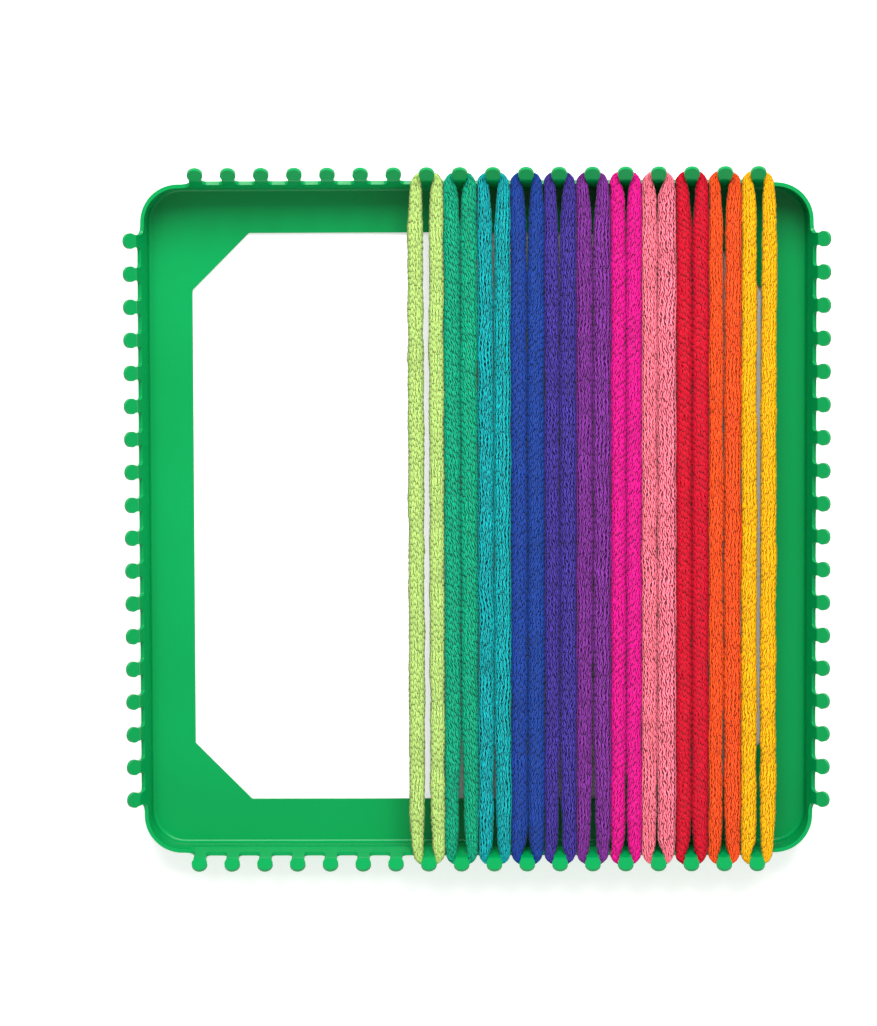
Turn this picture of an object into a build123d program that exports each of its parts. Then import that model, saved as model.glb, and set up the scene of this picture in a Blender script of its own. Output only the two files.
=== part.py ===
from build123d import *
from math import cos, radians, sin, tan
import os

os.makedirs("parts", exist_ok=True)

# Potholder loom: a square frame pressed from one steel sheet, with a row of
# hooked pegs along each side and eleven knitted loops stretched across it.
# X runs to the right, Y away from the user and Z up; the base stands on Z = 0.

# Pressed sheet
sheet = 1.0
side_length = 177.8
corner_radius = 10.0
base_bend_radius = 3.0
rim_height = 14.0
flare_start_height = 10.0
flare_angle = 11.0
flare_end_margin = 0.5
flange_breadth = 12.7
opening_chamfer = 15.2
overrun = 1.0

# Pegs, which the press folds out of the rim
pegs_per_side = 18
row_inset = 14.95
neck_width = 3.1
head_width = 4.15
head_length = 3.75
head_angle = 45.0
peg_bend_height = 18.2
peg_bend_radius = 0.5

# Knitted loops, each one flat tube joined into a ring
neck_clearance = 0.3
hook_clearance = 0.4
rim_clearance = 0.2
fold_clearance = 0.6
loop_spacing = 0.3
turn_radius = 0.7
bend_thickness = 1.6
bend_edge_radius = 0.75
strand_height = 3.0
strand_edge_radius = 1.2
shoulder_length = 1.6
spread_length = 3.7
shoulder_share = 0.7
round_limit_share = 0.48

# Loops from left to right: name and the gap between its two strands
loop_gaps = {
    "lime_loop": 1.3,
    "green_loop": 0.3,
    "turquoise_loop": 0.4,
    "blue_loop": 0.5,
    "indigo_loop": 0.2,
    "purple_loop": 0.2,
    "magenta_loop": 0.2,
    "pink_loop": 0.5,
    "red_loop": 0.5,
    "orange_loop": 0.2,
    "yellow_loop": 0.8,
}
bare_pegs = pegs_per_side - len(loop_gaps)

# Lines that the pieces share
half_side = side_length / 2
wall_middle = half_side - sheet / 2
straight_half = half_side - corner_radius
opening_width = side_length - 2 * flange_breadth
peg_pitch = (side_length - 2 * row_inset) / (pegs_per_side - 1)
lean = tan(radians(flare_angle))
flare_reach = (rim_height - flare_start_height) * lean
row_half = half_side - row_inset + neck_width / 2 + flare_end_margin
side_turns = {"back": 0, "left": 90, "front": 180, "right": 270}

# Base flange: a flat ring with an eight-sided opening
with BuildPart() as base_flange:
    with BuildSketch():
        flange_width = 2 * (half_side - base_bend_radius)
        RectangleRounded(flange_width, flange_width, corner_radius - base_bend_radius)
    extrude(amount=sheet)
    with BuildSketch(Plane.XY.offset(-overrun)) as opening:
        Rectangle(opening_width, opening_width)
        chamfer(opening.vertices(), opening_chamfer)
    extrude(amount=sheet + 2 * overrun, mode=Mode.SUBTRACT)
base_flange.part.label = "base_flange"
export_step(base_flange.part, "parts/base_flange.step")


def rim_outline(reach):
    """Outline of the wall above the flare's start, leaning out by reach at the rim."""
    return [
        (half_side - sheet, flare_start_height),
        (half_side, flare_start_height),
        (half_side + reach, rim_height),
        (half_side - sheet + reach, rim_height),
    ]


# One wall: the bend up from the base, the upright sheet and the flared strip
with BuildPart() as wall:
    with BuildSketch(Plane.YZ):
        with BuildLine():
            base_bend = CenterArc(
                (half_side - base_bend_radius, base_bend_radius),
                base_bend_radius - sheet / 2,
                270,
                90,
            )
            Line(base_bend @ 1, (wall_middle, flare_start_height))
        trace(line_width=sheet)
    extrude(amount=straight_half, both=True)
    with BuildSketch(Plane.YZ):
        Polygon(*rim_outline(flare_reach), align=None)
    extrude(amount=row_half, both=True)
    # The flare fades out between the last peg and the rounded corner
    with BuildSketch(Plane.YZ.offset(row_half)):
        Polygon(*rim_outline(flare_reach), align=None)
    with BuildSketch(Plane.YZ.offset(straight_half)):
        Polygon(*rim_outline(0), align=None)
    fade = loft(ruled=True)
    mirror(fade, about=Plane.YZ)

for side, turn in side_turns.items():
    with BuildPart() as side_wall:
        add(wall.part, rotation=(0, 0, turn))
    side_wall.part.label = side + "_wall"
    export_step(side_wall.part, "parts/" + side + "_wall.step")

# Rounded corners: the same bend and upright sheet, turned about the corner's axis
with BuildPart() as corner:
    with BuildSketch(Plane.YZ.offset(straight_half)):
        with BuildLine():
            corner_bend = CenterArc(
                (half_side - base_bend_radius, base_bend_radius),
                base_bend_radius - sheet / 2,
                270,
                90,
            )
            Line(corner_bend @ 1, (wall_middle, rim_height))
        trace(line_width=sheet)
    corner_axis = Axis((straight_half, straight_half, 0), (0, 0, 1))
    revolve(axis=corner_axis, revolution_arc=-90)
with BuildPart() as wall_corners:
    for turn in side_turns.values():
        add(corner.part, rotation=(0, 0, turn))
wall_corners.part.label = "wall_corners"
export_step(wall_corners.part, "parts/wall_corners.step")

# One peg: the neck leans on from the flare and ends in a round, folded-out head
neck_rise = peg_bend_height - flare_start_height
neck_foot = Vector(wall_middle, flare_start_height)
peg_fold = neck_foot + Vector(neck_rise * lean, neck_rise)
head_way = Vector(cos(radians(head_angle)), sin(radians(head_angle)))
head_tip = peg_fold + head_way * head_length
head_centre = head_tip - head_way * (head_width / 2)
with BuildPart() as peg:
    with BuildSketch(Plane.YZ):
        with BuildLine():
            FilletPolyline(
                neck_foot, peg_fold, head_tip, radius=peg_bend_radius + sheet / 2
            )
        trace(line_width=sheet)
    extrude(amount=head_width / 2, both=True)
    head_plane = Plane(
        origin=(0, head_centre.X, head_centre.Y),
        x_dir=(1, 0, 0),
        z_dir=(0, -head_way.Y, head_way.X),
    )
    with BuildSketch(head_plane):
        Circle(head_width / 2)
        Rectangle(neck_width, neck_rise + head_length, align=(Align.CENTER, Align.MAX))
    extrude(amount=neck_rise + head_length, both=True, mode=Mode.INTERSECT)
    split(bisect_by=Plane.XY.offset(rim_height), keep=Keep.TOP)

for side, turn in side_turns.items():
    with BuildPart() as peg_row:
        with GridLocations(peg_pitch, 0, pegs_per_side, 1):
            add(peg.part)
    with BuildPart() as side_pegs:
        add(peg_row.part, rotation=(0, 0, turn))
    side_pegs.part.label = side + "_pegs"
    export_step(side_pegs.part, "parts/" + side + "_pegs.step")

# Loops: each goes round one back peg and one front peg, under their heads
bend_height = peg_bend_height - fold_clearance - rim_clearance - rim_height
loop_height = rim_height + rim_clearance + bend_height / 2
neck_outside = half_side + flare_reach + (loop_height - rim_height) * lean
neck_inside = half_side + flare_reach - sheet
turn_y = neck_outside + hook_clearance - turn_radius
turn_x = neck_width / 2 + neck_clearance - turn_radius
bend_offset = turn_radius + bend_thickness / 2
strand_outside = (peg_pitch - loop_spacing) / 2


def share_way(start, end, share):
    """The value that lies the given share of the way from start to end."""
    return start + (end - start) * share


def loop_section(width, height, edge_radius):
    """Section of the flat tube, its rounding kept within a section too small for it."""
    widest_round = min(width, height) * round_limit_share
    RectangleRounded(width, height, min(edge_radius, widest_round))


for number, (name, gap) in enumerate(loop_gaps.items()):
    peg_x = (bare_pegs + number - (pegs_per_side - 1) / 2) * peg_pitch
    strand_width = strand_outside - gap / 2
    strand_middle = gap / 2 + strand_width / 2
    shoulder_middle = share_way(turn_x + bend_offset, strand_middle, shoulder_share)
    shoulder_width = share_way(bend_thickness, strand_width, shoulder_share)
    shoulder_height = share_way(bend_height, strand_height, shoulder_share)
    bend_place = Location((peg_x + turn_x + bend_offset, loop_height))
    shoulder_place = Location((peg_x + shoulder_middle, loop_height))
    strand_place = Location((peg_x + strand_middle, loop_height))
    with BuildPart() as loop:
        # Across the outer face of the neck, then a quarter turn
        with BuildSketch(Plane.YZ.offset(peg_x)):
            with Locations((turn_y + bend_offset, loop_height)):
                loop_section(bend_thickness, bend_height, bend_edge_radius)
        extrude(amount=turn_x)
        with BuildSketch(Plane.XZ.offset(-turn_y)):
            with Locations(bend_place):
                loop_section(bend_thickness, bend_height, bend_edge_radius)
        turn_axis = Axis((peg_x + turn_x, turn_y, 0), (0, 0, 1))
        revolve(axis=turn_axis, revolution_arc=90)
        # Straight past the side of the neck
        with BuildSketch(Plane.XZ.offset(-turn_y)):
            with Locations(bend_place):
                loop_section(bend_thickness, bend_height, bend_edge_radius)
        extrude(amount=turn_y - neck_inside)
        # The strand widens to its full flat width and runs to the middle
        with BuildSketch(Plane.XZ.offset(-neck_inside)):
            with Locations(bend_place):
                loop_section(bend_thickness, bend_height, bend_edge_radius)
        with BuildSketch(Plane.XZ.offset(shoulder_length - neck_inside)):
            with Locations(shoulder_place):
                loop_section(shoulder_width, shoulder_height, strand_edge_radius)
        with BuildSketch(Plane.XZ.offset(spread_length - neck_inside)):
            with Locations(strand_place):
                loop_section(strand_width, strand_height, strand_edge_radius)
        loft(ruled=True)
        with BuildSketch(Plane.XZ.offset(spread_length - neck_inside)):
            with Locations(strand_place):
                loop_section(strand_width, strand_height, strand_edge_radius)
        extrude(amount=neck_inside - spread_length)
        mirror(about=Plane.XZ)
        mirror(about=Plane.YZ.offset(peg_x))
    loop.part.label = name
    export_step(loop.part, "parts/" + name + ".step")
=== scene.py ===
import bpy
import math
import numpy as np
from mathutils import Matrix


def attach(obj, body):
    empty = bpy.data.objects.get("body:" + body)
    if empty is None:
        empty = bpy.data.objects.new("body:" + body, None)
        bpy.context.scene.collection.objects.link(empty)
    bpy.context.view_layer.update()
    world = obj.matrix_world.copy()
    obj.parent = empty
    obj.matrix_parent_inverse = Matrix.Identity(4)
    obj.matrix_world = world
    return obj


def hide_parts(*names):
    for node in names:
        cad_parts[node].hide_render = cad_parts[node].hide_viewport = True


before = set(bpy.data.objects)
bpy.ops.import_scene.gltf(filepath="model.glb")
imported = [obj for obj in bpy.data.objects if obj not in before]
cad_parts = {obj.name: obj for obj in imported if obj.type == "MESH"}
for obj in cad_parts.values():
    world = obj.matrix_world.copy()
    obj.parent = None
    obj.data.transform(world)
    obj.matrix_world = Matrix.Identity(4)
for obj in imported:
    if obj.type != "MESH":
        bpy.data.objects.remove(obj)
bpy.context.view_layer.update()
mm = 0.001
near = 0.001        # in mm: points this close count as one place
print("loaded", len(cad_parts), "nodes")


def newMode(mode):
    if bpy.context.object and bpy.context.object.mode != mode:
        bpy.ops.object.mode_set(mode=mode)


def deselectAll():
    newMode("OBJECT")
    bpy.ops.object.select_all(action="DESELECT")


def pickOnly(piece):
    deselectAll()
    piece.select_set(True)
    bpy.context.view_layer.objects.active = piece


def pickAll():
    newMode("EDIT")
    bpy.ops.mesh.select_all(action="SELECT")


def pickEdges(piece, test):
    # the test gets an edge and the places of its two ends
    newMode("EDIT")
    bpy.ops.mesh.select_mode(type="EDGE")
    bpy.ops.mesh.select_all(action="DESELECT")
    newMode("OBJECT")
    for edge in piece.data.edges:
        edge.select = test(edge, [piece.data.vertices[n].co for n in edge.vertices])
    newMode("EDIT")


def cutAcross(way, place):
    pickAll()
    bpy.ops.mesh.bisect(plane_co=[place * share for share in way], plane_no=way)


def alignNormals():
    pickAll()
    bpy.ops.mesh.normals_make_consistent(inside=False)


def joinTo(piece, others):
    pickOnly(piece)
    for other in others:
        other.select_set(True)
    bpy.ops.object.join()


def applyModifier(piece, kind, **settings):
    pickOnly(piece)
    modifier = piece.modifiers.new(kind.title(), kind)
    for key, value in settings.items():
        setattr(modifier, key, value)
    bpy.ops.object.modifier_apply(modifier=modifier.name)


def repeatPiece(piece, count, step, **settings):
    applyModifier(piece, "ARRAY", count=count, use_relative_offset=False, use_constant_offset=True,
                  constant_offset_displace=step, **settings)


def placeVertices(piece, places):
    piece.data.vertices.foreach_set("co", np.asarray(places, np.float32).ravel())
    piece.data.update()


def readVertices(piece):
    places = np.empty(len(piece.data.vertices) * 3, np.float32)
    piece.data.vertices.foreach_get("co", places)
    return places.reshape(-1, 3).astype(float)


def runLength(points):
    # the distance from the first point to each, along the line through them
    return np.concatenate([[0], np.cumsum(np.hypot(*np.diff(points, axis=0).T))])


# The pressed frame: one sheet, folded from a flat blank, in mm and degrees
sheetFrame = {
    "sheet": 1.0,
    "halfSide": 88.9,
    "cornerRadius": 10.0,
    "cornerSteps": 14,
    "baseBend": 1.8,        # outside radius
    "bendSteps": 5,
    "flareStart": 10.0,
    "flareAngle": 11.0,
    "flareRound": 0.6,
    "fadeCuts": (-0.4, 0.9, 2.0, 3.1, 4.0),     # beyond the last peg, where the flare dies away
    "rim": 14.0,
    "pegs": 18,
    "rowInset": 14.95,
    "neckWidth": 3.3,
    "footFillet": 1.15,
    "footSteps": 4,
    "headFillet": 0.9,
    "headFilletSteps": 4,
    "headSteps": 12,
    "headEnd": 8.0,         # the outline stops this far from the tip's middle
    "foldHeight": 18.2,
    "foldRadius": 0.5,
    "foldSteps": 3,
    "headAngle": 45.0,
    "headWidth": 4.15,
    "headLength": 3.75,
    "flangeBreadth": 12.7,
    "chamfer": 15.2,
    "openingRing": 1.2,
    "flatAngle": 1.0,
    "pegWeld": 0.01,
    "sideWeld": 0.02,
    "edgeRound": 0.3,
    "edgeSteps": 3,
    "edgeAngle": 50.0,
    "smoothAngle": 40.0,
}


def sheetPath(s):
    # Points (y, z) where the sheet's middle bends, from the flange up to the head
    middle = s["sheet"] / 2
    bend = s["baseBend"] - middle
    centreY = s["halfSide"] - s["baseBend"]
    lean = math.radians(90 - s["flareAngle"])
    head = math.radians(s["headAngle"])
    points = []
    for n in range(s["bendSteps"] + 1):
        turn = math.pi / 2 * n / s["bendSteps"]
        points.append((centreY + bend * math.sin(turn), s["baseBend"] - bend * math.cos(turn)))
    wallY = s["halfSide"] - middle
    slant = s["flareRound"] / math.tan(lean)
    points += [(wallY, s["flareStart"] - s["flareRound"]), (wallY, s["flareStart"]),
               (wallY + slant, s["flareStart"] + s["flareRound"])]
    foldY = wallY + (s["foldHeight"] - s["flareStart"]) / math.tan(lean)
    foldRound = s["foldRadius"] + middle
    cut = foldRound * math.tan((lean - head) / 2)
    centre = (
        foldY - cut * math.cos(lean) + foldRound * math.sin(lean),
        s["foldHeight"] - cut * math.sin(lean) - foldRound * math.cos(lean),
    )
    for n in range(s["foldSteps"] + 1):
        turn = lean + (head - lean) * n / s["foldSteps"]
        points.append((centre[0] - foldRound * math.sin(turn), centre[1] + foldRound * math.cos(turn)))
    points.append((foldY + s["headLength"] * math.cos(head), s["foldHeight"] + s["headLength"] * math.sin(head)))
    return np.array(points)


def pegOutline(s, rimAt, tipAt):
    # Rows (distance up the sheet, half width) of a peg: fillet at its foot, hollow, round head
    neckHalf, headRadius = s["neckWidth"] / 2, s["headWidth"] / 2
    headAt = tipAt - headRadius
    fillet, hollow = s["footFillet"], s["headFillet"]
    rows = []
    for n in range(1, s["footSteps"] + 1):
        turn = math.pi / 2 * n / s["footSteps"]
        rows.append((rimAt + fillet * (1 - math.cos(turn)), neckHalf + fillet * (1 - math.sin(turn))))
    away = math.acos((neckHalf + hollow) / (headRadius + hollow))
    hollowAt = headAt - (headRadius + hollow) * math.sin(away)
    for n in range(s["headFilletSteps"]):
        turn = away * n / s["headFilletSteps"]
        rows.append((hollowAt + hollow * math.sin(turn), neckHalf + hollow * (1 - math.cos(turn))))
    for n in range(s["headSteps"] + 1):
        turn = math.pi / 2 + away + (math.radians(s["headEnd"]) - math.pi / 2 - away) * n / s["headSteps"]
        rows.append((headAt + headRadius * math.cos(turn), headRadius * math.sin(turn)))
    return rows


def pressBlank(s, pathLength, pitch):
    # The flat blank of one peg's share of a side, X across and Y up along the sheet
    flareAt = pathLength[s["bendSteps"] + 2]
    rimAt = flareAt + (s["rim"] - s["flareStart"]) / math.cos(math.radians(s["flareAngle"]))
    footHalf = s["neckWidth"] / 2 + s["footFillet"]
    deselectAll()
    bpy.ops.mesh.primitive_plane_add(size=1, location=(0, 0, 0))
    blank = bpy.context.object
    blank.name = "pressed_frame"
    newMode("EDIT")
    bpy.ops.transform.resize(value=(pitch, rimAt, 1))
    bpy.ops.transform.translate(value=(0, rimAt / 2, 0))
    for side in (-1, 1):
        cutAcross((1, 0, 0), side * footHalf)
    pickEdges(blank, lambda edge, ends: all(abs(e.y - rimAt) < near and abs(e.x) < footHalf + near for e in ends))
    place, half = rimAt, footHalf
    for nextPlace, nextHalf in pegOutline(s, rimAt, pathLength[-1]):
        bpy.ops.mesh.extrude_region_move(TRANSFORM_OT_translate={"value": (0, nextPlace - place, 0)})
        bpy.ops.transform.resize(value=(nextHalf / half, 1, 1), center_override=(0, nextPlace, 0))
        place, half = nextPlace, nextHalf
    alignNormals()
    bpy.ops.mesh.dissolve_limited(angle_limit=math.radians(s["flatAngle"]), use_dissolve_boundaries=False)
    for along in pathLength[1:-1]:
        cutAcross((0, 1, 0), along)
    newMode("OBJECT")
    return blank


def foldSide(s, piece, path, pathLength, pitch, straight):
    # Folds the flat row of pegs as the press does
    lastPeg = s["halfSide"] - s["rowInset"]
    fadeCuts = [lastPeg + cut for cut in s["fadeCuts"]]
    for cut in fadeCuts:
        for side in (-1, 1):
            cutAcross((1, 0, 0), side * cut)
    newMode("OBJECT")
    flat = readVertices(piece)
    onEnd = abs(flat[:, 0]) > pitch * s["pegs"] / 2 - s["pegWeld"]
    x = np.where(onEnd, np.sign(flat[:, 0]) * straight, flat[:, 0])
    y = np.interp(flat[:, 1], pathLength, path[:, 0])
    z = np.interp(flat[:, 1], pathLength, path[:, 1])
    # the flare dies away across the last peg, towards the rounded corner
    share = np.clip((abs(x) - fadeCuts[0]) / (fadeCuts[-1] - fadeCuts[0]), 0, 1)
    share = share * share * (3 - 2 * share)
    share *= 1 - np.clip((z - s["rim"]) / (s["foldHeight"] - s["rim"]), 0, 1)
    flareRise = np.clip(z - s["flareStart"], 0, s["rim"] - s["flareStart"])
    y -= share * flareRise * math.tan(math.radians(s["flareAngle"]))
    placeVertices(piece, np.column_stack([x, y, z]))


def modelOpening(s, half):
    # A ring round the eight-sided opening; half is its outer half width
    ring = s["openingRing"]
    deselectAll()
    bpy.ops.mesh.primitive_plane_add(size=2 * half, location=(0, 0, s["sheet"] / 2))
    opening = bpy.context.object
    bpy.ops.object.transform_apply(location=True)
    pickAll()
    bpy.ops.mesh.bevel(offset=s["chamfer"] + ring * (2 - math.sqrt(2)), segments=1, affect="VERTICES")
    pickAll()
    bpy.ops.mesh.inset(thickness=ring)
    bpy.ops.mesh.delete(type="FACE")
    newMode("OBJECT")
    return opening


def fillFlange(s, piece, half):
    # Fills the flange between the ring round the opening and the bend
    low = s["sheet"] / 2 + s["pegWeld"]
    ringMiddle = half - s["openingRing"] / 2
    faceCount = {}
    for face in piece.data.polygons:
        for key in face.edge_keys:
            faceCount[key] = faceCount.get(key, 0) + 1

    def onFlange(edge, ends):
        single = faceCount.get(edge.key, 0) == 1
        flat = max(e.z for e in ends) < low
        return single and flat and max(max(abs(e.x), abs(e.y)) for e in ends) >= ringMiddle

    pickEdges(piece, onFlange)
    bpy.ops.mesh.fill(use_beauty=True)
    alignNormals()
    newMode("OBJECT")


def buildFrame(s):
    path = sheetPath(s)
    pathLength = runLength(path)
    pitch = (2 * s["halfSide"] - 2 * s["rowInset"]) / (s["pegs"] - 1)
    straight = s["halfSide"] - s["cornerRadius"]
    piece = pressBlank(s, pathLength, pitch)
    repeatPiece(piece, s["pegs"], (pitch, 0, 0), use_merge_vertices=True, merge_threshold=s["pegWeld"])
    pickAll()
    bpy.ops.transform.translate(value=(-pitch * (s["pegs"] - 1) / 2, 0, 0))
    foldSide(s, piece, path, pathLength, pitch, straight)
    # the rounded corner, spun from the end of the side
    pickEdges(piece, lambda edge, ends: all(abs(e.x - straight) < near for e in ends))
    bpy.ops.mesh.spin(steps=s["cornerSteps"], angle=math.pi / 2, center=(straight, straight, 0), axis=(0, 0, 1))
    newMode("OBJECT")
    quarter = readVertices(piece)
    others = []         # the other three sides, then the opening
    for turn in (1, 2, 3):
        pickOnly(piece)
        bpy.ops.object.duplicate()
        others.append(bpy.context.object)
        cosTurn, sinTurn = round(math.cos(turn * math.pi / 2)), round(math.sin(turn * math.pi / 2))
        placeVertices(others[-1], np.column_stack([
            quarter[:, 0] * cosTurn - quarter[:, 1] * sinTurn,
            quarter[:, 0] * sinTurn + quarter[:, 1] * cosTurn, quarter[:, 2]]))
    half = s["halfSide"] - s["flangeBreadth"] + s["openingRing"]
    others.append(modelOpening(s, half))
    joinTo(piece, others)
    pickAll()
    bpy.ops.mesh.remove_doubles(threshold=s["sideWeld"])
    newMode("OBJECT")
    fillFlange(s, piece, half)
    applyModifier(piece, "SOLIDIFY", thickness=s["sheet"], offset=0, use_even_offset=True, use_quality_normals=True)
    applyModifier(piece, "BEVEL", width=s["edgeRound"], segments=s["edgeSteps"], limit_method="ANGLE",
                  angle_limit=math.radians(s["edgeAngle"]))
    placeVertices(piece, readVertices(piece) * mm)
    alignNormals()
    pickOnly(piece)
    bpy.ops.object.shade_smooth_by_angle(angle=math.radians(s["smoothAngle"]))
    applyModifier(piece, "WEIGHTED_NORMAL", keep_sharp=True)
    print("frame", len(piece.data.polygons), "faces", [round(v / mm, 2) for v in piece.dimensions])
    return piece


pressedFrame = buildFrame(sheetFrame)
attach(pressedFrame, "frame")
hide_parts("base_flange", "back_wall", "front_wall", "left_wall", "right_wall", "wall_corners",
            "back_pegs", "front_pegs", "left_pegs", "right_pegs")


# Materials
def newMaterial(name):
    material = bpy.data.materials.new(name)
    material.use_nodes = True
    nodes, links = material.node_tree.nodes, material.node_tree.links
    return material, nodes, links, nodes["Principled BSDF"]


def addNode(nodes, links, kind, values=(), feeds=(), **settings):
    # values and feeds are (input, value) and (input, socket) pairs
    node = nodes.new("ShaderNode" + kind)
    for key, value in settings.items():
        setattr(node, key, value)
    for key, value in values:
        node.inputs[key].default_value = value
    for key, socket in feeds:
        links.new(socket, node.inputs[key])
    return node


def addBump(nodes, links, shader, height, strength, distance):
    bump = addNode(nodes, links, "Bump", [("Strength", strength), ("Distance", distance)], [("Height", height)])
    links.new(bump.outputs["Normal"], shader.inputs["Normal"])


def srgb(*values):
    # the colour as seen on screen, 0 to 255
    shares = [v / 255 for v in values]
    return tuple(v / 12.92 if v <= 0.04045 else ((v + 0.055) / 1.055) ** 2.4 for v in shares) + (1.0,)


powderCoat = {
    "colour": (0, 160, 84),
    "deep": (0, 148, 74),
    "patchScale": 30,
    "patchDetail": 4,
    "peelScale": 900,
    "peelDetail": 2,
    "peelStrength": 0.12,
    "peelDepth": 0.0001,
    "roughness": 0.22,
    "specular": 0.22,
}


def makePowderCoat(p):
    material, nodes, links, shader = newMaterial("green_powder_coat")
    where = nodes.new("ShaderNodeTexCoord").outputs["Object"]
    peel = addNode(nodes, links, "TexNoise", [("Scale", p["peelScale"]), ("Detail", p["peelDetail"])],
                   [("Vector", where)])
    addBump(nodes, links, shader, peel.outputs["Fac"], p["peelStrength"], p["peelDepth"])
    patch = addNode(nodes, links, "TexNoise", [("Scale", p["patchScale"]), ("Detail", p["patchDetail"])],
                    [("Vector", where)])
    mix = addNode(nodes, links, "Mix", [("A", srgb(*p["deep"])), ("B", srgb(*p["colour"]))],
                  [("Factor", patch.outputs["Fac"])], data_type="RGBA")
    links.new(mix.outputs["Result"], shader.inputs["Base Color"])
    shader.inputs["Roughness"].default_value = p["roughness"]
    shader.inputs["Specular IOR Level"].default_value = p["specular"]
    return material


pressedFrame.data.materials.clear()
pressedFrame.data.materials.append(makePowderCoat(powderCoat))
print("frame material")

# Knitted loops: one stitch is modelled, repeated as a flat sheet and rolled onto the loop's path, in mm
knit = {
    "wales": 12,            # stitches round the tube
    "courses": 228,         # stitches along it
    "walePitch": 0.98,
    "coursePitch": 1.6,
    "height": 15.9,
    "halfHeight": 1.5,
    "endHalfHeight": 1.68,
    "endStart": 84,         # where the strands begin to round the peg, and over what length
    "endLength": 6,
    "yarnSides": 4,
    "yarnDepth": 0.25,
    "seam": 0.05,
    "coreDepth": 0.5,
    "coreSide": 0.08,
    "coreSteps": (12, 320),
    "squareness": 2.15,
    "sectionSteps": 720,
    "sectionStretch": 1.35,
    "firstPeg": 7,
    "pegPitch": 8.7,
    "sampleStep": 0.1,
    "smoothing": 23,        # samples
    "startShare": 0.25,     # the sheet starts behind the top peg
    "bandBreadth": 0.055,
    "weld": 0.003,
    "bakeAngle": 1.3,
    "bakeGap": 0.03,
    "bakeCells": 54,
    "bakeMargin": 0.04,
    "coreRow": 0.95,        # the core's strip on the bake map, and its breadth
    "coreRowBreadth": 0.9,
    "firstSeed": 31,
    "waveLines": 7,
    # shortest and longest wave, and its height
    "waves": {"turn": (14, 70, 0.018), "width": (9, 60, 0.055), "sway": (20, 120, 0.05), "lift": (16, 90, 0.08),
              "open": (8, 60, 0.15)},
    # random spread from stitch to stitch
    "spread": {"open": 0.3, "thick": 0.08, "across": 0.035, "along": 0.1, "up": 0.035, "drop": 0.35},
    # shares of the colour, with painted highlight and shade, and the height round which it turns from dark to light
    "shade": {"level": 0.97, "tone": 0.07, "open": 0.16, "rise": 0.35, "riseMiddle": 0.08, "riseHalf": 0.25,
              "wave": 0.03, "side": 0.6, "sidePower": 4, "core": 0.75, "coreRelief": 0.6},
}
# Leg of a stitch: X, Y, Z and half width at each station, the first and last drawn to a point
closedLeg = ((-0.12, -1.20, -0.2, 0), (-0.17, -0.72, 0.03, 0.16), (-0.23, -0.12, 0.08, 0.21),
             (-0.30, 0.48, 0.03, 0.19), (-0.28, 1.06, -0.22, 0))
openLeg = ((-0.02, -1.08, 0.0, 0), (-0.30, -0.72, 0.14, 0.17), (-0.52, -0.05, 0.20, 0.15),
           (-0.33, 0.66, 0.14, 0.17), (-0.02, 1.02, -0.02, 0))
# A strand's two edges: distances from the loop's middle, then X and Y where it rounds the peg's neck
loopEnd = {
    "stations": (0, 55, 78, 85.6, 88.0),
    "halfWidth": 4.38,
    "shoulderShare": 0.3,
    "narrowing": 0.02,
    "widening": 0.2,
    "neckGap": 0.92,
    "inside": ((1.42, 89.2), (1.62, 90.0), (1.40, 90.38), (0.75, 90.47), (0, 90.47)),
    "outside": ((4.16, 89.4), (3.7, 90.45), (2.88, 91.32), (1.6, 91.9), (0, 92.05)),
}


def modelStitch(k, name, leg):
    first = leg[1]
    deselectAll()
    bpy.ops.mesh.primitive_circle_add(vertices=k["yarnSides"], radius=first[3], location=(0, 0, 0),
                                      rotation=(math.pi / 2, 0, 0))
    stitch = bpy.context.object
    stitch.name = name
    bpy.ops.object.transform_apply(rotation=True)
    pickAll()
    bpy.ops.transform.translate(value=first[:3])

    def pull(start, end):
        move = [b - a for a, b in zip(start[:3], end[:3])]
        bpy.ops.mesh.extrude_region_move(TRANSFORM_OT_translate={"value": move})
        if end[3]:
            bpy.ops.transform.resize(value=[end[3] / start[3]] * 3, center_override=end[:3])
        else:
            bpy.ops.mesh.merge(type="CENTER")

    for start, end in zip(leg[1:], leg[2:]):
        pull(start, end)
    pickEdges(stitch, lambda edge, ends: all(abs(e.y - first[1]) < near for e in ends))
    pull(first, leg[0])
    pickAll()
    bpy.ops.mesh.duplicate()
    bpy.ops.transform.resize(value=(-1, 1, 1), center_override=(0, 0, 0))
    alignNormals()
    newMode("OBJECT")
    stitch.data.uv_layers.new(name="OFBake")
    pickAll()
    bpy.ops.uv.smart_project(angle_limit=k["bakeAngle"], island_margin=k["bakeGap"])
    newMode("OBJECT")
    return stitch


def quarterPath(e, innerEdge, outer):
    # Inner and outer edge of a strand from its middle up round half of the peg, in mm
    stations = e["stations"]
    narrow = min(outer, e["halfWidth"])
    shoulder = outer * e["shoulderShare"] + narrow * (1 - e["shoulderShare"])
    neckEdge = max(innerEdge[0] + e["widening"], e["neckGap"])
    inside = [*zip([*innerEdge[::-1], neckEdge], stations), *e["inside"]]
    outside = [*zip([outer, outer, outer, shoulder, narrow - e["narrowing"]], stations), *e["outside"]]
    return np.array([inside, outside], float)


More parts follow.
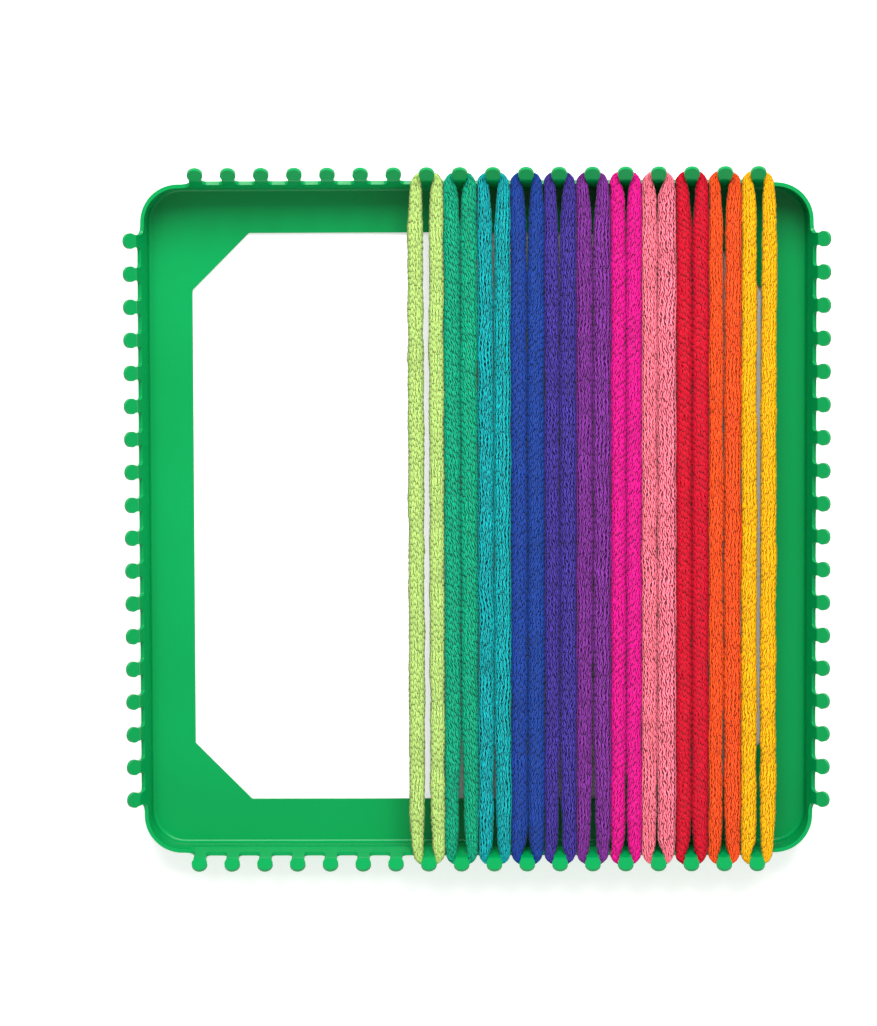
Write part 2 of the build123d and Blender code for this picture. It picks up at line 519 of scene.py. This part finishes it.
def loopPath(k, e, spec):
    # The ring once round, at even steps: its middle line, the way across it and half its width
    gaps, shift = np.array(spec["gaps"]) / 2, spec["shift"]
    left, right = -k["seam"] - spec["outer"][0], spec["outer"][1] - k["seam"]
    topRight, bottomRight = quarterPath(e, gaps[:4] + shift, right), quarterPath(e, gaps[:2:-1] + shift, right)
    topLeft, bottomLeft = quarterPath(e, gaps[:4] - shift, left), quarterPath(e, gaps[:2:-1] - shift, left)
    flip, down = np.array([-1, 1]), np.array([1, -1])
    inside, outside = np.concatenate([topRight, (topLeft * flip)[:, ::-1][:, 1:], (bottomLeft * flip * down)[:, 1:],
                                      (bottomRight * down)[:, ::-1][:, 1:-1]], axis=1)
    middle = (inside + outside) / 2
    along = runLength(np.vstack([middle, middle[:1]]))
    length = along[-1]
    samples = int(length / k["sampleStep"])
    place = np.arange(samples) / samples * length

    def resample(points):
        points = np.vstack([points, points[:1]])
        fine = np.column_stack([np.interp(place, along, points[:, n]) for n in (0, 1)])
        window = np.hanning(k["smoothing"])[1:-1]
        window /= window.sum()
        reach = len(window) // 2
        wrapped = np.vstack([fine[-reach:], fine, fine[:reach]])
        return np.column_stack([np.convolve(wrapped[:, n], window, "valid") for n in (0, 1)])

    inside, outside = resample(inside), resample(outside)
    middle = (inside + outside) / 2
    across = outside - inside
    width = np.hypot(across[:, 0], across[:, 1])
    across = across / width[:, None]
    return {"length": length, "place": place, "middle": middle, "across": across, "halfWidth": width / 2}


def makeWave(rng, count, length, shortest, longest):
    # A smooth random line that closes on itself
    turns = rng.integers(round(length / longest), round(length / shortest), count)
    phases = rng.uniform(0, 2 * math.pi, count)
    shares = rng.uniform(0.5, 1, count)

    def value(place):
        total = 0
        for turn, phase, share in zip(turns, phases, shares):
            total = total + share * np.sin(2 * math.pi * turn * place / length + phase)
        return total / np.sqrt((shares ** 2).sum() / 2)

    return value


def sectionTable(k):
    # Even steps round the flat tube's section, from its outer side over the top
    turn = np.linspace(0, 2 * math.pi, k["sectionSteps"] + 1)
    x = np.sign(np.cos(turn)) * abs(np.cos(turn)) ** (2 / k["squareness"])
    z = np.sign(np.sin(turn)) * abs(np.sin(turn)) ** (2 / k["squareness"])
    share = runLength(np.column_stack([x * k["sectionStretch"], z]))
    return share / share[-1], x, z


def rollSheet(k, spec, path, section, wavy, around, along, height, sideHeight):
    # Puts points of the flat sheet onto the loop: around and along in shares, heights in mm
    waveHeights = {name: values[2] for name, values in k["waves"].items()}
    place = ((along + k["startShare"]) % 1) * path["length"]
    around = (around + spec["twist"] / k["wales"] * along + wavy["turn"](place) * waveHeights["turn"]) % 1
    share, shapeX, shapeZ = section

    def on(values):
        return np.interp(place, path["place"], values, period=path["length"])

    x = np.interp(around, share, shapeX)
    z = np.interp(around, share, shapeZ)
    nearEnd = np.clip((abs(on(path["middle"][:, 1])) - k["endStart"]) / k["endLength"], 0, 1)
    halfHeight = k["halfHeight"] + (k["endHalfHeight"] - k["halfHeight"]) * nearEnd
    strand = 1 - nearEnd
    halfWidth = on(path["halfWidth"]) + strand * waveHeights["width"] * wavy["width"](place)
    sway = strand * waveHeights["sway"] * wavy["sway"](place)
    lift = strand * waveHeights["lift"] * wavy["lift"](place)
    out = (halfWidth + sideHeight) * x + sway
    up = (halfHeight + height) * z + lift
    middleX, middleY = on(path["middle"][:, 0]), on(path["middle"][:, 1])
    acrossX, acrossY = on(path["across"][:, 0]), on(path["across"][:, 1])
    return np.column_stack([spec["x"] + middleX + acrossX * out, middleY + acrossY * out, k["height"] + up]), abs(x)


# the tone attribute: random tone together with painted shade and painted highlight, multiplied into the colour
def setToneAndShade(piece, values):
    layer = piece.data.attributes.new("tone", "FLOAT", "POINT")
    layer.data.foreach_set("value", np.asarray(values, np.float32))


def readCorners(piece):
    # the vertex of each face corner
    corners = np.empty(len(piece.data.loops), np.int32)
    piece.data.loops.foreach_get("vertex_index", corners)
    return corners


def writeMap(layer, places):
    layer.data.foreach_set("uv", places.astype(np.float32).ravel())


def setSheet(piece, across, along):
    # the sheet's own coordinates, in mm
    places = np.column_stack([across, along])[readCorners(piece)]
    writeMap(piece.data.uv_layers.new(name="knit"), places)


def addCore(k, spec, path, section, wavy):
    # The slim tube that the yarn lies on, coloured darker: painted shade seen through the gaps between the stitches
    deselectAll()
    bpy.ops.mesh.primitive_grid_add(x_subdivisions=k["coreSteps"][0], y_subdivisions=k["coreSteps"][1], size=1)
    core = bpy.context.object
    around, along = (readVertices(core)[:, :2] + 0.5).T
    placed, side = rollSheet(k, spec, path, section, wavy, around, along, -k["coreDepth"], -k["coreSide"])
    shade = k["shade"]
    sideShade = 1 - shade["side"] * side ** shade["sidePower"]
    # painted shade: the core is darker than the yarn, the more so the stronger the relief, and darker at the
    # strand's sides
    setToneAndShade(core, (shade["core"] - shade["coreRelief"] * spec["relief"]) * sideShade)
    setSheet(core, around * k["wales"] * k["walePitch"], along * path["length"])
    core.data.uv_layers[0].name = "OFBake"
    strip = (k["bakeCells"] - k["coreRow"] + k["coreRowBreadth"] * around) / k["bakeCells"]
    writeMap(core.data.uv_layers["OFBake"], np.column_stack([along, strip])[readCorners(core)])
    placeVertices(core, placed * mm)
    return core


def spreadBake(k, loop, perStitch):
    # Gives each stitch a cell of its own on the bake map
    layer = loop.data.uv_layers["OFBake"]
    places = np.empty(len(loop.data.loops) * 2, np.float32)
    layer.data.foreach_get("uv", places)
    stitch = readCorners(loop) // perStitch
    cell = np.column_stack([stitch % k["bakeCells"], stitch // k["bakeCells"]])
    within = places.reshape(-1, 2) * (1 - 2 * k["bakeMargin"])
    writeMap(layer, (cell + k["bakeMargin"] + within) / k["bakeCells"])


def knitLoop(k, name, spec, closedStitch, openStitch, section):
    rng = np.random.default_rng(spec["seed"])
    path = loopPath(k, loopEnd, spec)
    wavy = {kind: makeWave(rng, k["waveLines"], path["length"], *values[:2]) for kind, values in k["waves"].items()}
    closedPlaces, openPlaces = readVertices(closedStitch), readVertices(openStitch)
    perStitch = len(closedPlaces)
    yarnMiddle = []
    for place in closedPlaces:
        sameStation = abs(closedPlaces[:, 1] - place[1]) < near
        yarnMiddle.append(closedPlaces[sameStation & (closedPlaces[:, 0] * place[0] > 0)].mean(0))
    pickOnly(closedStitch)
    bpy.ops.object.duplicate()
    loop = bpy.context.object
    loop.name = name
    repeatPiece(loop, k["wales"], (k["walePitch"], 0, 0))
    repeatPiece(loop, k["courses"], (0, k["coursePitch"], 0))
    # open, thicken, lean and shift the stitches of the flat sheet
    flat = readVertices(loop)
    number = np.arange(len(flat)) // perStitch
    within = np.arange(len(flat)) % perStitch
    stitches = k["wales"] * k["courses"]
    wale, course = number % k["wales"], number // k["wales"]
    share = ((wale + 0.5) / k["wales"] + spec["twist"] / k["wales"] * course / k["courses"]) % 1
    band = np.exp(-(((share - spec["band"] + 0.5) % 1 - 0.5) / k["bandBreadth"]) ** 2)
    spread, shade, relief = k["spread"], k["shade"], spec["relief"]
    openness = np.clip(spec["open"] + spec["bandOpen"] * band
                       + k["waves"]["open"][2] * wavy["open"](course / k["courses"] * path["length"])
                       + rng.normal(0, spread["open"], stitches)[number], 0, 1)
    thick = spec["thick"] + rng.normal(0, spread["thick"], stitches)[number]
    flat += (closedPlaces - yarnMiddle)[within] * (thick - 1)[:, None]
    flat += (openPlaces - closedPlaces)[within] * openness[:, None]
    slip = rng.normal(0, 1, (stitches, 3))[number]
    lean = spec["skew"] + spec["zigzag"] * (1 - 2 * (course % 2))
    flat[:, 0] += slip[:, 0] * spread["across"] + lean * (flat[:, 1] - course * k["coursePitch"])
    drop = np.arange(k["wales"]) * spec["stagger"] / k["wales"] + rng.uniform(0, spread["drop"], k["wales"])
    flat[:, 1] += slip[:, 1] * spread["along"] + (drop % 1)[wale] * k["coursePitch"]
    flat[:, 2] += slip[:, 2] * spread["up"]
    around = flat[:, 0] / (k["wales"] * k["walePitch"])
    along = flat[:, 1] / (k["courses"] * k["coursePitch"])
    height = flat[:, 2] - k["yarnDepth"]
    placed, side = rollSheet(k, spec, path, section, wavy, around, along, height, height)
    placeVertices(loop, placed * mm)
    # painted shade: deeper yarn is darker, and so are the strand's sides;
    # painted highlight: the yarn's tops and open stitches are lighter
    tone = rng.normal(0, 1, stitches)[number]
    rise = np.clip((flat[:, 2] - shade["riseMiddle"]) / shade["riseHalf"], -1, 1)
    level = shade["level"] + relief * (shade["tone"] * tone + shade["open"] * openness + shade["rise"] * rise)
    level *= 1 + shade["wave"] * wavy["open"](along * path["length"])
    setToneAndShade(loop, level * (1 - shade["side"] * side ** shade["sidePower"]))
    setSheet(loop, around * k["wales"] * k["walePitch"], along * path["length"])
    spreadBake(k, loop, perStitch)
    joinTo(loop, [addCore(k, spec, path, section, wavy)])
    pickAll()
    bpy.ops.mesh.remove_doubles(threshold=k["weld"] * mm)
    alignNormals()
    newMode("OBJECT")
    bpy.ops.object.shade_smooth()
    print(name, len(loop.data.polygons), "faces", [round(v / mm, 2) for v in loop.dimensions])
    return loop


# outer: the two strands' outer edges from the pegs' line; shift: the middle of the gap between them;
# gaps: that gap at seven places from the top peg to the bottom one; open: how far the stitches stand open;
# band and bandOpen: where round the tube they open further, and by how much; twist: wales that the sheet turns by
# along the loop; stagger: courses that the rows climb round the tube; skew and zigzag: how the stitches lean, all
# one way and by turns; relief: strength of random tone, painted highlight and painted shade; thick: thickness of
# the yarn against the first stitch
loopSpecs = {
    "lime": {"colour": (189, 219, 125), "outer": (-5.2, 4.4), "shift": -0.27,
             "gaps": (2.0, 1.7, 1.45, 1.4, 1.4, 1.6, 2.2), "open": 0.05, "band": 0.3, "bandOpen": 0.2,
             "twist": 1, "skew": 0.05, "stagger": 6, "zigzag": 0.12, "relief": 0.22, "thick": 1.25},
    "green": {"colour": (2, 171, 129), "outer": (-4.45, 4.65), "shift": 0.04,
              "gaps": (1.0, 0.1, -0.15, -0.15, 0.05, 1.5, 2.0), "open": 0.12, "band": 0.12, "bandOpen": 0.3,
              "twist": -1, "skew": 0.14, "stagger": 5, "zigzag": 0.2, "relief": 0.42, "thick": 1.08},
    "turquoise": {"colour": (2, 164, 168), "outer": (-4.15, 4.65), "shift": 0.1,
                  "gaps": (1.7, 0.7, 0.1, -0.05, 0.05, 0.7, 1.1), "open": 0.3, "band": 0.125, "bandOpen": 1.1,
                  "twist": 0, "skew": 0.02, "stagger": 7, "zigzag": 0.14, "relief": 1.0, "thick": 1.05},
    "blue": {"colour": (28, 69, 159), "outer": (-4.2, 4.85), "shift": 0.25,
             "gaps": (1.6, 0.45, -0.05, -0.1, -0.1, -0.1, 0.7), "open": 0.08, "band": 0.2, "bandOpen": 0.2,
             "twist": 1, "skew": -0.1, "stagger": 6, "zigzag": 0.16, "relief": 0.4, "thick": 1.08},
    "indigo": {"colour": (72, 55, 156), "outer": (-3.95, 4.55), "shift": 0.1,
               "gaps": (1.6, 0.5, 0.05, 0.0, 0.05, 0.8, 1.3), "open": 0.3, "band": 0.1, "bandOpen": 0.5,
               "twist": 0, "skew": 0.06, "stagger": 6, "zigzag": 0.2, "relief": 0.8, "thick": 0.95},
    "purple": {"colour": (130, 49, 151), "outer": (-4.25, 4.95), "shift": 0.13,
               "gaps": (1.8, 0.4, 0.0, 0.0, 0.2, 1.1, 1.6), "open": 0.35, "band": 0.13, "bandOpen": 0.6,
               "twist": 0, "skew": -0.05, "stagger": 5, "zigzag": 0.14, "relief": 0.85, "thick": 0.95},
    "magenta": {"colour": (230, 12, 145), "outer": (-3.85, 4.45), "shift": 0.2,
                "gaps": (0.9, -0.05, -0.1, -0.1, 0.0, 0.35, 0.9), "open": 0.1, "band": 0.12, "bandOpen": 0.25,
                "twist": 1, "skew": -0.12, "stagger": 7, "zigzag": 0.2, "relief": 0.45, "thick": 1.1},
    "pink": {"colour": (255, 127, 147), "outer": (-4.35, 4.85), "shift": -0.3,
             "gaps": (0.4, -0.1, -0.1, -0.1, -0.1, 0.15, 0.8), "open": 0.3, "band": 0.11, "bandOpen": 0.8,
             "twist": 0, "skew": 0.08, "stagger": 6, "zigzag": 0.18, "relief": 0.9, "thick": 0.98},
    "red": {"colour": (211, 5, 42), "outer": (-3.95, 4.7), "shift": 0.2,
            "gaps": (1.5, 0.25, -0.1, -0.1, -0.1, 0.1, 0.9), "open": 0.0, "band": 0.25, "bandOpen": 0.2,
            "twist": 1, "skew": 0.1, "stagger": 5, "zigzag": 0.1, "relief": 0.15, "thick": 1.32},
    "orange": {"colour": (255, 88, 27), "outer": (-4.1, 4.6), "shift": -0.1,
               "gaps": (1.6, 0.8, 0.3, 0.1, 0.1, 0.5, 1.1), "open": 0.3, "band": 0.12, "bandOpen": 0.7,
               "twist": -1, "skew": 0.0, "stagger": 6, "zigzag": 0.16, "relief": 0.65, "thick": 0.98},
    "yellow": {"colour": (255, 191, 0), "outer": (-4.2, 5.15), "shift": 0.45,
               "gaps": (1.9, 1.4, 1.2, 0.85, 0.85, 1.0, 1.3), "open": 0.25, "band": 0.2, "bandOpen": 0.3,
               "twist": 1, "skew": -0.06, "stagger": 7, "zigzag": 0.2, "relief": 0.38, "thick": 1.1},
}
for number, spec in enumerate(loopSpecs.values()):
    spec["x"] = (knit["firstPeg"] + number - (sheetFrame["pegs"] - 1) / 2) * knit["pegPitch"]
    spec["seed"] = knit["firstSeed"] + number

knitFinish = {
    "stretch": (9, 2.2, 1),
    "fibreScale": 1.0,
    "fibreDetail": 3,
    "fibreDistortion": 0.6,
    "fibreRange": (0.3, 0.7),
    "fibreShade": (0.92, 1.08),
    "fibreStrength": 0.35,
    "fibreDepth": 0.0001,
    "roughness": 0.9,
    "specular": 0.12,
    "sheen": 0.1,
    "sheenRoughness": 0.5,
}


def makeKnit(name, colour, f):
    material, nodes, links, shader = newMaterial(name)
    # tone attribute: random tone with painted shade and painted highlight
    tone = addNode(nodes, links, "Attribute", attribute_name="tone")
    sheet = addNode(nodes, links, "UVMap", uv_map="knit")
    stretch = addNode(nodes, links, "Mapping", [("Scale", f["stretch"])], [("Vector", sheet.outputs["UV"])])
    fibre = addNode(nodes, links, "TexNoise",
                    [("Scale", f["fibreScale"]), ("Detail", f["fibreDetail"]), ("Distortion", f["fibreDistortion"])],
                    [("Vector", stretch.outputs["Vector"])])
    spread = addNode(nodes, links, "MapRange",
                     [("From Min", f["fibreRange"][0]), ("From Max", f["fibreRange"][1]),
                      ("To Min", f["fibreShade"][0]), ("To Max", f["fibreShade"][1])],
                     [("Value", fibre.outputs["Fac"])])
    level = addNode(nodes, links, "Math", [], [(0, spread.outputs["Result"]), (1, tone.outputs["Fac"])],
                    operation="MULTIPLY")
    tint = addNode(nodes, links, "VectorMath", [("Vector", srgb(*colour)[:3])], [("Scale", level.outputs["Value"])],
                   operation="SCALE")
    links.new(tint.outputs["Vector"], shader.inputs["Base Color"])
    shader.inputs["Roughness"].default_value = f["roughness"]
    shader.inputs["Specular IOR Level"].default_value = f["specular"]
    shader.inputs["Sheen Weight"].default_value = f["sheen"]
    shader.inputs["Sheen Roughness"].default_value = f["sheenRoughness"]
    addBump(nodes, links, shader, fibre.outputs["Fac"], f["fibreStrength"], f["fibreDepth"])
    return material


def buildLoops(k, specs):
    closedStitch = modelStitch(k, "closed_stitch", closedLeg)
    openStitch = modelStitch(k, "open_stitch", openLeg)
    section = sectionTable(k)
    for colour, spec in specs.items():
        loop = knitLoop(k, colour + "_knit_loop", spec, closedStitch, openStitch, section)
        loop.data.materials.clear()
        loop.data.materials.append(makeKnit(colour + "_knit", spec["colour"], knitFinish))
        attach(loop, colour + "_loop")
        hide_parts(colour + "_loop")
    for master in (closedStitch, openStitch):
        bpy.data.objects.remove(master)


buildLoops(knit, loopSpecs)
print("loops")


# Floor, light and camera, in metres
studio = {
    "dimPlace": (0.0335, 0, 0),     # middle and half size of the floor below the loops
    "dimHalf": (0.042, 0.078, 1),
    "dimFade": 0.004,
    "floorSize": 6.0,
    "floorDrop": 0.0001,
    "floorShade": 0.86,
    "floorRoughness": 0.9,
    "floorGlow": 0.45,
    "worldLevel": 0.45,
    "keyPower": 22.4,
    "keySize": 0.8,
    "keyPlace": (0.05, 0.82, 1.0),
    "fillPower": 4.5,
    "fillSize": 0.9,
    "fillPlace": (0.0, -1.1, 0.55),
}


def buildFloor(s):
    deselectAll()
    bpy.ops.mesh.primitive_plane_add(size=s["floorSize"], location=(0, 0, -s["floorDrop"]))
    floor = bpy.context.object
    floor.name = "floor"
    material, nodes, links, shader = newMaterial("white_floor")
    shader.inputs["Base Color"].default_value = (s["floorShade"],) * 3 + (1,)
    shader.inputs["Roughness"].default_value = s["floorRoughness"]
    shader.inputs["Specular IOR Level"].default_value = 0.0
    # painted light: seen from the camera the floor glows, lifted to white all round so the object's shadow there
    # fades, but not below the loops, where the shade seen through the gaps stays
    where = nodes.new("ShaderNodeTexCoord")
    shift = addNode(nodes, links, "VectorMath", [(1, s["dimPlace"])], [(0, where.outputs["Object"])],
                    operation="SUBTRACT")
    away = addNode(nodes, links, "VectorMath", [], [(0, shift.outputs["Vector"])], operation="ABSOLUTE")
    beyond = addNode(nodes, links, "VectorMath", [(1, s["dimHalf"])], [(0, away.outputs["Vector"])],
                     operation="SUBTRACT")
    axes = addNode(nodes, links, "SeparateXYZ", [], [("Vector", beyond.outputs["Vector"])])
    farthest = addNode(nodes, links, "Math", [], [(0, axes.outputs["X"]), (1, axes.outputs["Y"])],
                       operation="MAXIMUM")
    lifted = addNode(nodes, links, "MapRange", [("From Max", s["dimFade"]), ("To Max", s["floorGlow"])],
                     [("Value", farthest.outputs["Value"])])
    path = nodes.new("ShaderNodeLightPath")
    seen = addNode(nodes, links, "Math", [], [(0, path.outputs["Is Camera Ray"]), (1, lifted.outputs["Result"])],
                   operation="MULTIPLY")
    glow = addNode(nodes, links, "Emission", [("Color", (1, 1, 1, 1))], [("Strength", seen.outputs["Value"])])
    both = addNode(nodes, links, "AddShader", [], [(0, shader.outputs["BSDF"]), (1, glow.outputs["Emission"])])
    links.new(both.outputs[0], nodes["Material Output"].inputs["Surface"])
    floor.data.materials.append(material)


def buildLight(s):
    world = bpy.data.worlds.new("studio")
    bpy.context.scene.world = world
    world.use_nodes = True
    nodes, links = world.node_tree.nodes, world.node_tree.links
    back = nodes["Background"]
    back.inputs["Color"].default_value = (1, 1, 1, 1)
    path = nodes.new("ShaderNodeLightPath")
    level = addNode(nodes, links, "MapRange", [("To Min", s["worldLevel"]), ("To Max", 1.0)],
                    [("Value", path.outputs["Is Camera Ray"])])
    links.new(level.outputs["Result"], back.inputs["Strength"])
    for part in ("key", "fill"):
        bpy.ops.object.light_add(type="AREA", location=s[part + "Place"])
        lamp = bpy.context.object
        lamp.name = part + "_light"
        lamp.data.shape = "SQUARE"
        lamp.data.size = s[part + "Size"]
        lamp.data.energy = s[part + "Power"]
        lamp.rotation_euler = lamp.location.to_track_quat("Z", "Y").to_euler()


camera = {
    "place": (0.0050, 0.0629, 1.0095),
    "turn": (-3.514, 0.867, -0.188),
    "focalPixels": 3762.0,
    "pictureHeight": 1026,
    "sensorHeight": 24,
    "clipStart": 0.05,
}


def buildCamera(c):
    data = bpy.data.cameras.new("photo_camera")
    eye = bpy.data.objects.new("photo_camera", data)
    bpy.context.scene.collection.objects.link(eye)
    eye.location = c["place"]
    eye.rotation_euler = [math.radians(v) for v in c["turn"]]
    data.sensor_fit = "VERTICAL"
    data.sensor_height = c["sensorHeight"]
    data.lens = c["focalPixels"] / c["pictureHeight"] * data.sensor_height
    data.clip_start = c["clipStart"]
    bpy.context.scene.camera = eye


buildFloor(studio)
buildLight(studio)
buildCamera(camera)
bpy.context.scene.view_settings.view_transform = "Standard"
print("studio")
